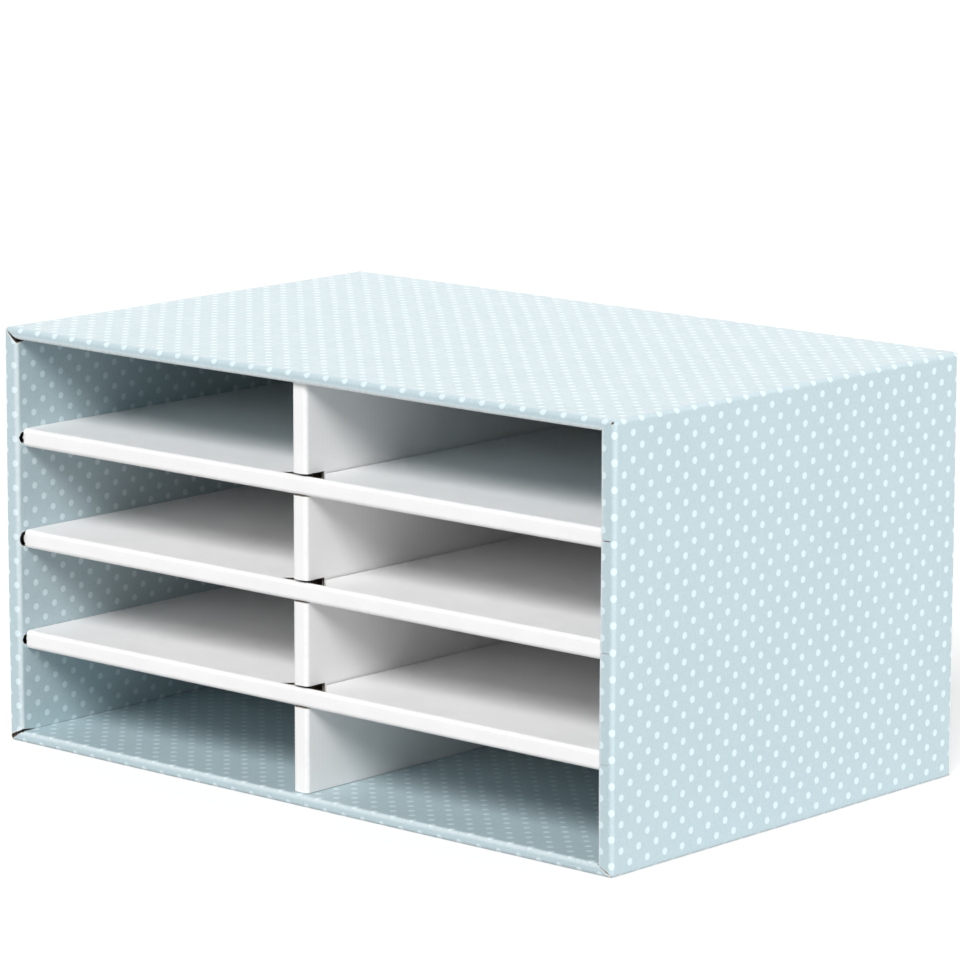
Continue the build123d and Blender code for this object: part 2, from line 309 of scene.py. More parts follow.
def flat_line(place, rub=0.0):
    """A grid line that crosses no fold of its own."""
    return Line(place, 0.0, 0.0, 1.0, place - FOLD_RADIUS + QUARTER, rub)


def plain_cuts(*places):
    """Cuts beside which the paper is not rubbed."""
    return [Cut(place, 0.0) for place in places]


def cut_columns(cuts_of, rows):
    """Columns between cuts that may shift from row to row, and which gap between cuts each cell lies in.

    Board lies between the first cut and the second, the third and the fourth, and so on.
    """
    cuts_by_row = [cuts_of(row) for row in rows]
    gaps = range(len(cuts_by_row[0]) - 1)
    counts = [
        max(max(1, ceil((cuts[n + 1].place - cuts[n].place) / GRID_STEP)) for cuts in cuts_by_row)
        for n in gaps
    ]
    cell_gaps = [n for n in gaps for _ in range(1 if n % 2 else counts[n] + 2)]

    def columns(row):
        cuts = cuts_of(row)
        lines = []
        for n in gaps:
            first, second = cuts[n], cuts[n + 1]
            lines.append(flat_line(*first))
            if n % 2:
                continue
            low = first.place + CUT_FADE
            step = (second.place - CUT_FADE - low) / counts[n]
            lines.extend(flat_line(low + step * k) for k in range(counts[n] + 1))
        lines.append(flat_line(*cuts[-1]))
        return lines

    return columns, cell_gaps


def wave(ripple, first, second):
    """Height of a ripple that runs slantwise over two distances."""
    return sin(2 * pi * (first / ripple.first + second / ripple.second) + ripple.phase)


def uneven(point):
    """A folded sleeve is never quite true: a smooth shift of a fraction of a millimetre."""
    across = wave(ACROSS_RIPPLE, point.y, point.z)
    along = wave(ALONG_RIPPLE, point.x, point.z)
    rise = wave(RISE_RIPPLE, point.x, point.y) * point.z / HEIGHT
    return point + WARP * Vector((across, along, rise))


def local_point(row, column, depth):
    """Place of a board point along, across and into its panel. Where two folds cross, it is on a ball."""
    if row.lean and column.lean:
        along = row.place + FOLD_RADIUS * row.lean
        across = column.place + FOLD_RADIUS * column.lean
        into = Vector((row.lean / row.sink, column.lean / column.sink, 1.0)).normalized()
        return Vector((along, across, FOLD_RADIUS)) - (FOLD_RADIUS - depth) * into
    inside = row.drop + column.drop + depth * row.sink * column.sink
    return Vector((row.place + depth * row.lean, column.place + depth * column.lean, inside))


def band_before(edge):
    """Span of the fluting that shows at a cut edge, with the board before the edge."""
    return edge - FLUTE_BAND, edge - EDGE_GAP


def band_after(edge):
    """Span of the fluting that shows at a cut edge, with the board after the edge."""
    return edge + EDGE_GAP, edge + FLUTE_BAND


class Board:
    """The mesh of one piece while it is put together."""

    def __init__(self):
        self.points = []
        self.prints = []
        self.rubs = []
        self.faces = []
        self.kinds = []

    def vertex(self, place, print_place, rub):
        """Adds a vertex and returns its number."""
        self.points.append(place * MM)
        self.prints.append(print_place)
        self.rubs.append(rub)
        return len(self.points) - 1

    def face(self, corners, kind):
        self.faces.append(corners)
        self.kinds.append(kind)

    def loft(self, rings, side_kind, end_kind):
        """A closed skin over a row of rings of vertices."""
        self.face(rings[0], end_kind)
        for ring, following in zip(rings, rings[1:]):
            for n in range(len(ring)):
                after = (n + 1) % len(ring)
                self.face([ring[n], ring[after], following[after], following[n]], side_kind)
        self.face(list(reversed(rings[-1])), end_kind)

    def mesh(self, name):
        """The finished mesh, with its sheet coordinates and its rub marks, which also carry painted
        highlights.
        """
        mesh = bpy.data.meshes.new(name)
        mesh.from_pydata(self.points, [], self.faces)
        mesh.polygons.foreach_set("material_index", self.kinds)
        rub = mesh.attributes.new("rub", "FLOAT", "POINT")
        rub.data.foreach_set("value", self.rubs)
        sheet = mesh.uv_layers.new(name="sheet")
        for loop in mesh.loops:
            x, y = self.prints[loop.vertex_index]
            sheet.data[loop.index].uv = (x * MM, y * MM)
        close_normals(mesh)
        return mesh


class Sheet(Board):
    """The mesh of one panel of board."""

    def __init__(self, panel, print_of, warped):
        super().__init__()
        self.panel = panel
        self.print_of = print_of
        self.warped = warped

    def point(self, row, column, depth):
        """Adds the vertex at a grid crossing, at a depth in the board, and returns its number."""
        panel = self.panel
        along, across, inside = local_point(row, column, depth)
        place = panel.origin + panel.along * along + panel.across * across + panel.inward * inside
        if self.warped:
            place = uneven(place)
        return self.vertex(place, self.print_of(row, column), max(row.rub, column.rub))

    def add_skins(self, is_open=None, skins=LINER_SKINS):
        """The paper as closed thin sheets, with the open cells left out."""
        rows = self.panel.rows
        lines = [self.panel.columns(row) for row in rows]
        cells = [(i, j) for i in range(len(rows) - 1) for j in range(len(lines[0]) - 1)]
        kept = [cell for cell in cells if is_open is None or not is_open(*cell, rows, lines[cell[0]])]
        kept_set = set(kept)
        found = {}

        def at(crossing, depth):
            if (crossing, depth) not in found:
                i, j = crossing
                found[crossing, depth] = self.point(rows[i], lines[i][j], depth)
            return found[crossing, depth]

        for i, j in kept:
            corners = ((i, j), (i + 1, j), (i + 1, j + 1), (i, j + 1))
            neighbours = ((i, j - 1), (i + 1, j), (i, j + 1), (i - 1, j))
            for near, far, near_kind, far_kind in skins:
                self.face([at(corner, near) for corner in corners], near_kind)
                self.face([at(corner, far) for corner in corners], far_kind)
                for side, neighbour in enumerate(neighbours):
                    if neighbour in kept_set:
                        continue
                    first = corners[side]
                    second = corners[(side + 1) % 4]
                    line = lines[first[0]][first[1]] if side % 2 == 0 else rows[first[0]]
                    edge = [at(first, near), at(second, near), at(second, far), at(first, far)]
                    # A sheet goes on in the middle of a fold, so the edge there is no cut
                    self.face(edge, CORE if line.lean else CUT)

    def add_flutes(self, row_span, column_span, waves_on_rows):
        """A band of the fluted medium between the liners, where a cut edge shows it."""
        low, high = row_span if waves_on_rows else column_span
        run_span = column_span if waves_on_rows else row_span
        count = max(2, round((high - low) / FLUTE_PITCH * FLUTE_SAMPLES))
        swing = (BOARD - 2 * LINER - MEDIUM) / 2
        rings = []
        for n in range(count + 1):
            place = low + (high - low) * n / count
            middle = BOARD / 2 + swing * sin(2 * pi * place / FLUTE_PITCH)
            ring = []
            for run, side in ((0, -1), (1, -1), (1, 1), (0, 1)):
                row = flat_line(place if waves_on_rows else run_span[run])
                column = flat_line(run_span[run] if waves_on_rows else place)
                ring.append(self.point(row, column, middle + side * MEDIUM / 2))
            rings.append(ring)
        self.loft(rings, CORE, CORE)


def close_normals(mesh):
    """Turns all faces outwards and keeps only the cut edges sharp."""
    shape = bmesh.new()
    shape.from_mesh(mesh)
    bmesh.ops.recalc_face_normals(shape, faces=shape.faces)
    shape.to_mesh(mesh)
    shape.free()
    mesh.shade_smooth()
    mesh.set_sharp_from_angle(angle=radians(SHARP_ANGLE))


def board_object(name, slot, sheet):
    """A finished sheet as an object in the scene."""
    mesh = sheet.mesh(name)
    for material in MATERIALS[slot]:
        mesh.materials.append(material)
    board = bpy.data.objects.new(name, mesh)
    bpy.context.scene.collection.objects.link(board)
    return board


def place_board(node, body, slot, sheet):
    """A finished sheet that rides on a body, in place of its CAD node."""
    board = board_object(node + "_board", slot, sheet)
    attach(board, body)
    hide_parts(node)


# Materials

# Colours of the papers
INK = (0.464, 0.594, 0.637, 1)
PALE_INK = (0.482, 0.611, 0.654, 1)
THIN_INK = (0.55, 0.665, 0.705, 1)
HEAVY_INK = (0.40, 0.525, 0.57, 1)
DOT_WHITE = (0.70, 0.83, 0.875, 1)
# Paler print where it is rubbed, also the colour of the painted highlight along the right and top walls'
# inner creases
RUB_AND_HIGHLIGHT_PRINT = (0.84, 0.88, 0.89, 1)
LINER_WHITE = (0.905, 0.90, 0.90, 1)
PALE_LINER = (0.93, 0.925, 0.925, 1)
FLECKED_LINER = (0.76, 0.755, 0.75, 1)
SCUFFED_LINER = (0.70, 0.69, 0.68, 1)
REVERSE_BROWN = (0.34, 0.29, 0.23, 1)
PALE_REVERSE = (0.40, 0.345, 0.275, 1)
FLECKED_REVERSE = (0.24, 0.20, 0.155, 1)
CORE_BROWN = (0.33, 0.27, 0.205, 1)
PALE_CORE = (0.42, 0.35, 0.27, 1)
CUT_WHITE = (0.84, 0.83, 0.81, 1)
DULL_CUT = (0.74, 0.72, 0.69, 1)

# Soft-edged patches of noise: their size and detail, the noise from which they begin and at which they are
# full, and what they come to there and outside them
Patch = namedtuple("Patch", "size detail low high most least", defaults=(1.0, 0.0))
INK_CLOUDS = Patch(45.0, 2.0, 0.3, 0.7)
THIN_INK_SPOTS = Patch(1.6, 4.0, 0.35, 0.75, 0.5)
HEAVY_INK_SPOTS = Patch(2.4, 4.0, 0.5, 0.8, 0.4)
RUB_SPOTS = Patch(2.2, 4.0, 0.30, 0.62, 1.0, 0.55)
LINER_CLOUDS = Patch(30.0, 3.0, 0.3, 0.7)
LINER_FLECKS = Patch(1.4, 4.0, 0.55, 0.8, 0.15)
LINER_SCUFFS = Patch(3.0, 4.0, 0.45, 0.7, 0.2)
REVERSE_CLOUDS = Patch(18.0, 4.0, 0.3, 0.7)
REVERSE_FLECKS = Patch(0.9, 4.0, 0.6, 0.78, 0.35)
CORE_CLOUDS = Patch(3.0, 4.0, 0.3, 0.7)
CUT_CLOUDS = Patch(1.1, 4.0, 0.35, 0.7)
SHEEN = Patch(6.0, 3.0, 0.3, 0.7)

# Surfaces of the papers: height of the fibres, height of the flutes that show through, least and most
# roughness, and how strongly they mirror
Surface = namedtuple("Surface", "fibres washboard smooth rough specular")
PRINT_SURFACE = Surface(0.006, 0.010, 0.28, 0.38, 0.65)
LINER_SURFACE = Surface(0.006, 0.012, 0.45, 0.6, 0.4)
REVERSE_SURFACE = Surface(0.012, 0.016, 0.75, 0.9, 0.15)
CORE_SURFACE = Surface(0.015, 0.0, 0.8, 0.95, 0.1)
CUT_SURFACE = Surface(0.02, 0.0, 0.8, 0.95, 0.1)
FIBRE_SIZE = 0.5
FIBRE_DETAIL = 3.0
BUMP_STRENGTH = 0.8
BUMP_DISTANCE = 1.0


class Nodes:
    """A shader node tree while it is put together."""

    def __init__(self, owner):
        owner.use_nodes = True
        self.tree = owner.node_tree
        self.tree.nodes.clear()

    def node(self, kind, inputs, **settings):
        """Adds a node, with a value or a link for each input that is given."""
        node = self.tree.nodes.new(kind)
        for setting, value in settings.items():
            setattr(node, setting, value)
        for socket, value in inputs.items():
            if isinstance(value, bpy.types.NodeSocket):
                self.tree.links.new(value, node.inputs[socket])
            else:
                node.inputs[socket].default_value = value
        return node

    def math(self, operation, *values):
        return self.node("ShaderNodeMath", dict(enumerate(values)), operation=operation).outputs[0]

    def seen(self):
        """One for rays from the camera or a mirror-like surface, nought for the rays that light things."""
        path = self.node("ShaderNodeLightPath", {})
        direct = self.math("MAXIMUM", path.outputs["Is Camera Ray"], path.outputs["Is Glossy Ray"])
        return self.math("MAXIMUM", direct, path.outputs["Is Transmission Ray"])


class Paper(Nodes):
    """The material of one face of the board."""

    def __init__(self, name):
        self.material = bpy.data.materials.new(name)
        super().__init__(self.material)
        self.place = self.node("ShaderNodeTexCoord", {}).outputs["Object"]
        # Rub marks of the mesh: wear, and on the right and top walls' inner creases a painted highlight
        self.rub = self.node("ShaderNodeAttribute", {}, attribute_name="rub").outputs["Fac"]
        sheet = self.node("ShaderNodeUVMap", {}, uv_map="sheet").outputs["UV"]
        self.sheet = self.node("ShaderNodeSeparateXYZ", {0: sheet})

    def mix(self, factor, first, second):
        sockets = {0: factor, 6: first, 7: second}
        return self.node("ShaderNodeMix", sockets, data_type="RGBA").outputs[2]

    def noise(self, size_mm, detail=2.0):
        """Noise whose features are about this large."""
        sockets = {"Vector": self.place, "Scale": 1 / (size_mm * MM), "Detail": detail}
        return self.node("ShaderNodeTexNoise", sockets).outputs[0]

    def ramp(self, value, low, high, to_low, to_high):
        sockets = {0: value, 1: low, 2: high, 3: to_low, 4: to_high}
        return self.node("ShaderNodeMapRange", sockets, interpolation_type="SMOOTHSTEP").outputs[0]

    def patches(self, patch):
        """Soft-edged patches of noise."""
        noise = self.noise(patch.size, patch.detail)
        return self.ramp(noise, patch.low, patch.high, patch.least, patch.most)

    def mottle(self, patch, color, patch_color):
        """A colour with patches of another colour."""
        return self.mix(self.patches(patch), color, patch_color)

    def height(self, surface):
        """Bump of a paper liner: its fibres, and the flutes behind it showing faintly through."""
        fibres = self.math("MULTIPLY", self.noise(FIBRE_SIZE, FIBRE_DETAIL), surface.fibres * MM)
        turns = self.math("MULTIPLY", self.sheet.outputs[0], 2 * pi / (FLUTE_PITCH * MM))
        washboard = self.math("MULTIPLY", self.math("SINE", turns), surface.washboard * MM)
        return self.math("ADD", fibres, washboard)

    def finish(self, color, surface):
        """The finished material."""
        relief = {"Height": self.height(surface), "Strength": BUMP_STRENGTH, "Distance": BUMP_DISTANCE}
        bump = self.node("ShaderNodeBump", relief)
        rough = self.patches(SHEEN._replace(least=surface.smooth, most=surface.rough))
        sockets = {"Base Color": color, "Roughness": rough, "Normal": bump.outputs[0]}
        sockets["Specular IOR Level"] = surface.specular
        shader = self.node("ShaderNodeBsdfPrincipled", sockets)
        self.node("ShaderNodeOutputMaterial", {0: shader.outputs[0]})
        return self.material


def dot_mask(paper):
    """One inside the white dots of the print, nought outside."""
    ring = paper.math("SUBTRACT", paper.sheet.outputs[0], DOT_RING_START * MM)
    depth = paper.math("SUBTRACT", paper.sheet.outputs[1], DOT_DEPTH_START * MM)
    ring = paper.math("DIVIDE", ring, 2 * DOT_RING_SPACING * MM)
    depth = paper.math("DIVIDE", depth, 2 * DOT_DEPTH_SPACING * MM)
    squares = []
    for operation in ("ADD", "SUBTRACT"):
        diagonal = paper.math(operation, ring, depth)
        offset = paper.math("SUBTRACT", diagonal, paper.math("ROUND", diagonal))
        squares.append(paper.math("MULTIPLY", offset, offset))
    distance = paper.math("SQRT", paper.math("ADD", *squares))
    distance = paper.math("MULTIPLY", distance, DOT_RING_SPACING * MM * sqrt(2))
    ragged = paper.math("SUBTRACT", paper.noise(RAGGED_SIZE), NOISE_MIDDLE)
    ragged = paper.math("MULTIPLY", ragged, RAGGED_DEPTH * MM)
    distance = paper.math("ADD", distance, ragged)
    return paper.ramp(distance, (DOT_RADIUS - DOT_SOFT) * MM, (DOT_RADIUS + DOT_SOFT) * MM, 1.0, 0.0)


def printed_material():
    """Pale aqua print with white dots on a white liner, rubbed along the creases and cuts, with a painted
    highlight along the inner creases of the right and top walls.
    """
    paper = Paper("aqua_dot_print")
    ink = paper.mottle(INK_CLOUDS, INK, PALE_INK)
    ink = paper.mottle(THIN_INK_SPOTS, ink, THIN_INK)
    ink = paper.mottle(HEAVY_INK_SPOTS, ink, HEAVY_INK)
    color = paper.mix(dot_mask(paper), ink, DOT_WHITE)
    # Rubbed wear, and a painted highlight on the right and top walls' inner creases, turn the print paler
    rub_and_highlight = paper.math("MULTIPLY", paper.rub, paper.patches(RUB_SPOTS))
    color = paper.mix(rub_and_highlight, color, RUB_AND_HIGHLIGHT_PRINT)
    return paper.finish(color, PRINT_SURFACE)


def white_material():
    """White liner of the shelves and the divider, with a faint mottle and scuffed creases."""
    paper = Paper("white_liner")
    color = paper.mottle(LINER_CLOUDS, LINER_WHITE, PALE_LINER)
    color = paper.mottle(LINER_FLECKS, color, FLECKED_LINER)
    scuff = paper.math("MULTIPLY", paper.rub, paper.patches(LINER_SCUFFS))
    color = paper.mix(scuff, color, SCUFFED_LINER)
    return paper.finish(color, LINER_SURFACE)


def reverse_material():
    """Uncoated back of the liners."""
    paper = Paper("plain_reverse")
    color = paper.mottle(REVERSE_CLOUDS, REVERSE_BROWN, PALE_REVERSE)
    color = paper.mottle(REVERSE_FLECKS, color, FLECKED_REVERSE)
    return paper.finish(color, REVERSE_SURFACE)


def raw_material(name, clouds, color, cloud_color, surface):
    """Raw paper: the recycled fluting, or the edge where the die has cut the liners."""
    paper = Paper(name)
    return paper.finish(paper.mottle(clouds, color, cloud_color), surface)


reverse = reverse_material()
core = raw_material("fluting_paper", CORE_CLOUDS, CORE_BROWN, PALE_CORE, CORE_SURFACE)
cut = raw_material("cut_paper_edge", CUT_CLOUDS, CUT_WHITE, DULL_CUT, CUT_SURFACE)
MATERIALS = {
    PRINTED: (printed_material(), reverse, core, cut),
    WHITE: (white_material(), reverse, core, cut),
}


# Sleeve

PRINT_WIDTH = PRINT_STRETCH["top"] * sheet_length(WIDTH)
RING_STARTS = {"right": FOLD_RADIUS - QUARTER}
RING_STARTS["top"] = RING_STARTS["right"] + sheet_length(HEIGHT)
RING_STARTS["left"] = RING_STARTS["top"] + PRINT_WIDTH + LEFT_CREASE_PRINT
RING_STARTS["bottom"] = RING_STARTS["right"] - PRINT_WIDTH

# Where the crease of the back panel begins, behind the front, and the sheet distance there
BACK_CREASE = DEPTH - FOLD_RADIUS
BACK_CREASE_SHEET = QUARTER + BACK_CREASE - FOLD_RADIUS


def sheet_places(name, depth_start, sign, ring_shift=0.0):
    """Print coordinates of a sleeve panel: round the ring, and from front to rear along the sheet."""

    def places(row, column):
        ring = RING_STARTS[name] + ring_shift + PRINT_STRETCH[name] * column.sheet
        return ring, depth_start + sign * row.sheet

    return places


def run_of(wall):
    """Direction of a wall's run, round the sleeve."""
    return BACKWARD.cross(wall.inward)


def wall_corner(wall, y, step_in=0.0):
    """Start of a wall's run at one depth, on its outer face or a step inside it."""
    return wall.centre - run_of(wall) * wall.half + BACKWARD * y + wall.inward * step_in


def profile_at(values, share):
    """A value on the straight lines through evenly spaced values."""
    spot = min(max(share, 0.0), 1.0) * (len(values) - 1)
    n = min(int(spot), len(values) - 2)
    return values[n] + (values[n + 1] - values[n]) * (spot - n)


def corner_rub(cut_back):
    """How much the print is rubbed at a corner that is cut back."""
    return min(CUT_RUB, cut_back / CORNER_RUB_REACH)


def slit_half(setback, slit):
    """Half the height of a shelf slit where the sheet is this far behind the front."""
    widest = slit.flare / 2
    if setback < SHELF_SETBACK:
        share = max(0.0, setback - slit.start) / (SHELF_SETBACK - slit.start)
        return slit.lip + (widest - slit.lip) * sqrt(share * (2 - share))
    closing = max(0.0, 1 - (setback - SHELF_SETBACK) / SLIT_FLARE_LENGTH) ** SLIT_CLOSING
    return max(widest * closing, TAB_ROOT / 2 + TAB_FIT)


def slit_cuts(name, setback, rub):
    """Both lips of each slit along the run of a side wall, in order."""
    slits = list(zip(SHELF_LEVELS, SLITS[name]))
    if name == "left":
        slits = [(HEIGHT - level, slit) for level, slit in reversed(slits)]
    cuts = []
    for level, slit in slits:
        half = slit_half(setback, slit)
        shown = rub if setback > slit.start else 0.0
        cuts.extend((Cut(level - half, shown), Cut(level + half, shown)))
    return cuts


def cells_open(cell_gaps, first_row, last_row):
    """Open cells between the lips of slits, slots or notches, over some rows."""

    def is_open(i, j, rows, columns):
        return cell_gaps[j] % 2 == 1 and first_row <= i < last_row

    return is_open


def rear_open(beyond, between_notches):
    """Open cells behind a depth: between the notches at the rear corners, or the notches themselves."""

    def is_open(i, j, rows, columns):
        middle = (columns[j].place + columns[j + 1].place) / 2
        between = BACK_INSET < middle < WIDTH - BACK_INSET
        return rows[i].place > beyond - TINY and between == between_notches

    return is_open


def row_at(rows, place):
    """Number of the first grid line that lies this far along."""
    return next(n for n, row in enumerate(rows) if row.place > place - TINY)


def outer_panel(name):
    """The outside of a wall, which ends in a crease at the front and at its sides."""
    wall = WALLS[name]
    run = 2 * wall.half
    length = DUST_REAR - FRONT
    is_open = None
    if name == "top":
        rows = fold_lines(length, OUTER_RUB, None, stops=[BACK_CREASE - STRIP_FLAT])
        is_open = rear_open(BACK_CREASE - STRIP_FLAT, True)
    elif name == "bottom":
        rows = fold_lines(DEPTH, OUTER_RUB, None, stops=[length])
        is_open = rear_open(length, False)
    else:
        rows = fold_lines(length, OUTER_RUB, OUTER_RUB)
    ring = fold_lines(run, OUTER_RUB, OUTER_RUB, stops=[BACK_INSET, run - BACK_INSET])
    panel = Panel(wall_corner(wall, FRONT), BACKWARD, run_of(wall), wall.inward, rows, lambda row: ring)
    sheet = Sheet(panel, sheet_places(name, 0.0, 1), True)
    sheet.add_skins(is_open)
    if name == "bottom":
        between_notches = (BACK_INSET + SUPPORT, run - BACK_INSET - SUPPORT)
        sheet.add_flutes(band_before(DEPTH), between_notches, False)
    place_board(name + "_panel", "sleeve", PRINTED, sheet)


def front_edge(name):
    """The narrow front of a wall, with mitred ends, crushed thin between its two creases."""
    wall = WALLS[name]
    slitted = name in SLITS
    tip = SIDE - TAB_REACH - TAB_TIP_FIT
    steps = [wall.thick * n / EDGE_STEPS for n in range(EDGE_STEPS)]
    stops = [step for step in steps if FOLD_RADIUS < step < wall.thick - FOLD_RADIUS]
    rows = fold_lines(wall.thick, OUTER_RUB, INNER_RUBS_AND_HIGHLIGHTS[name], stops + [tip] if slitted else stops)
    start_cuts, end_cuts = CORNER_CUTS[name]

    def cuts_of(row):
        share = row.place / wall.thick
        mitre = MITRE_GAP / 2 + share * wall.step
        start_back = profile_at(start_cuts, share)
        end_back = profile_at(end_cuts, share)
        low = Cut(mitre + start_back, corner_rub(start_back))
        high = Cut(2 * wall.half - mitre - end_back, corner_rub(end_back))
        if not slitted:
            return [low, high]
        if row.place < tip - TINY:
            return [low, *slit_cuts(name, 0.0, 0.0), high]
        return [low, *slit_cuts(name, row.drop, CUT_RUB), high]

    columns, cell_gaps = cut_columns(cuts_of, rows)
    panel = Panel(wall_corner(wall, FRONT), wall.inward, run_of(wall), BACKWARD, rows, columns)
    sheet = Sheet(panel, sheet_places(name, 0.0, -1), True)
    is_open = cells_open(cell_gaps, row_at(rows, tip), len(rows)) if slitted else None
    sheet.add_skins(is_open, CRUSHED_SKINS)
    place_board(name + "_front_edge", "sleeve", PRINTED, sheet)


def lining(name):
    """The inside of a wall, folded back from its front edge, with the slits for the shelves' tabs."""
    wall = WALLS[name]
    slitted = name in SLITS
    length = LINING_REAR - FRONT
    slit_end = TAB_REAR + TAB_TIP_FIT - FRONT
    stops = []
    if slitted:
        stops.append(slit_end)
        for n in range(1, FLARE_ROWS + 1):
            stops.append(FOLD_RADIUS + (SHELF_SETBACK - FOLD_RADIUS) * n / FLARE_ROWS)
            stops.append(SHELF_SETBACK + SLIT_FLARE_LENGTH * n / FLARE_ROWS)
    rows = fold_lines(length, INNER_RUBS_AND_HIGHLIGHTS[name], None, [CORNER_FADE / 2, CORNER_FADE, *stops])
    start_cuts, end_cuts = CORNER_CUTS[name]
    start = wall.step + FLAT_FIT / 2
    end = 2 * wall.half - wall.step - FLAT_FIT / 2

    def cuts_of(row):
        fade = max(0.0, 1 - row.place / CORNER_FADE)
        start_back = start_cuts[-1] * fade
        end_back = end_cuts[-1] * fade
        low = Cut(start + start_back, corner_rub(start_back))
        high = Cut(end - end_back, corner_rub(end_back))
        if not slitted:
            return [low, high]
        rub = CUT_RUB * min(1.0, max(0.0, 1 - (row.place - SHELF_SETBACK) / SLIT_FLARE_LENGTH))
        return [low, *slit_cuts(name, row.place, rub), high]

    columns, cell_gaps = cut_columns(cuts_of, rows)
    origin = wall_corner(wall, FRONT, wall.thick)
    panel = Panel(origin, BACKWARD, run_of(wall), -wall.inward, rows, columns)
    sheet = Sheet(panel, sheet_places(name, -sheet_length(wall.thick), -1), True)
    sheet.add_skins(cells_open(cell_gaps, 0, row_at(rows, slit_end)) if slitted else None)
    sheet.add_flutes(band_before(length), (start + EDGE_GAP, end - EDGE_GAP), False)
    place_board(name + "_lining", "sleeve", PRINTED, sheet)


def dust_flap(name):
    """The flap at the rear of a side wall, folded in behind the linings."""
    wall = WALLS[name]
    rows = fold_lines(DUST_WIDTH, OUTER_RUB, None)
    low = DECK + FLAT_FIT
    high = 2 * wall.half - low
    columns, _ = cut_columns(lambda row: plain_cuts(low, high), rows)
    panel = Panel(wall_corner(wall, DUST_REAR), wall.inward, run_of(wall), -BACKWARD, rows, columns)
    depth_start = sheet_length(DUST_REAR - FRONT)
    sheet = Sheet(panel, sheet_places(name, depth_start, 1), True)
    sheet.add_skins()
    sheet.add_flutes(band_before(DUST_WIDTH), (low + EDGE_GAP, high - EDGE_GAP), False)
    place_board(name + "_dust_flap", "sleeve", PRINTED, sheet)


def glue_flap():
    """The seam of the sleeve, glued up inside the left wall."""
    front = FRONT + FOLD_RADIUS + FLAT_FIT
    rows = fold_lines(LINING_REAR - front, None, None)
    columns, _ = cut_columns(lambda row: plain_cuts(0.0, GLUE_WIDTH), rows)
    origin = Vector((-WIDTH / 2 + BOARD, front, FOLD_RADIUS))
    panel = Panel(origin, BACKWARD, UPWARD, RIGHTWARD, rows, columns)
    sheet = Sheet(panel, sheet_places("bottom", 0.0, 1, -GLUE_WIDTH), True)
    sheet.add_skins()
    place_board("glue_flap", "sleeve", PRINTED, sheet)


def back_crease():
    """The crease between the top and the back panel, fixed in place as at rest."""
    top = WALLS["top"]
    rows = whole_fold_lines(STRIP_FLAT, OUTER_RUB)
    columns, _ = cut_columns(lambda row: plain_cuts(BACK_INSET, WIDTH - BACK_INSET), rows)
    panel = Panel(wall_corner(top, FRONT + BACK_CREASE), BACKWARD, run_of(top), -UPWARD, rows, columns)
    sheet = Sheet(panel, sheet_places("top", BACK_CREASE_SHEET, 1), True)
    sheet.add_skins()
    crease = board_object("back_crease_board", PRINTED, sheet)
    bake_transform(crease)


def back_panel():
    """The back, below its crease. Gives the sheet distance at its foot."""
    top = WALLS["top"]
    head = FOLD_RADIUS + STRIP_FLAT
    length = HEIGHT - TUCK_LOW - head
    rows = fold_lines(length, None, OUTER_RUB)
    columns, _ = cut_columns(lambda row: plain_cuts(BACK_INSET, WIDTH - BACK_INSET), rows)
    panel = Panel(wall_corner(top, REAR, head), -UPWARD, run_of(top), -BACKWARD, rows, columns)
    depth_start = BACK_CREASE_SHEET + 2 * QUARTER + STRIP_FLAT
    sheet = Sheet(panel, sheet_places("top", depth_start, 1), True)
    sheet.add_skins()
    place_board("back_panel", "back", PRINTED, sheet)
    return depth_start + rows[-1].sheet


def tuck_flap(depth_start):
    """The flap at the foot of the back, with its corners cut off."""
    top = WALLS["top"]
    corner_start = TUCK_LENGTH - TUCK_CORNER
    rows = fold_lines(TUCK_LENGTH, OUTER_RUB, None, stops=[corner_start])
    inset = SIDE + TUCK_INSET

    def cuts_of(row):
        cut_back = max(0.0, row.place - corner_start)
        return plain_cuts(inset + cut_back, WIDTH - inset - cut_back)

    columns, _ = cut_columns(cuts_of, rows)
    panel = Panel(wall_corner(top, REAR, HEIGHT - TUCK_LOW), -BACKWARD, run_of(top), UPWARD, rows, columns)
    sheet = Sheet(panel, sheet_places("top", depth_start, 1), True)
    sheet.add_skins()
    edge = inset + TUCK_CORNER
    sheet.add_flutes((corner_start, TUCK_LENGTH - EDGE_GAP), (edge, WIDTH - edge), False)
    place_board("back_tuck_flap", "back", PRINTED, sheet)


for wall_name in WALLS:
    outer_panel(wall_name)
    front_edge(wall_name)
    lining(wall_name)
for wall_name in ("left", "right"):
    dust_flap(wall_name)
glue_flap()
back_crease()
tuck_flap(back_panel())


# Shelves and divider

def flute_places(start):
    """Sheet coordinates of a white panel, so that its flutes run along its columns."""

    def places(row, column):
        return start + row.sheet, column.sheet

    return places


def slot_half(place, slot_at, mouthed):
    """Half the width of the divider's slot, which in a deck widens to a mouth in front."""
    half = SLOT_WIDTH / 2
    if not mouthed or place > slot_at:
        return half
    share = (slot_at - max(place, FOLD_RADIUS)) / (slot_at - FOLD_RADIUS)
    return half + share * (DIVIDER_THICK / 2 + MOUTH_REACH - half)


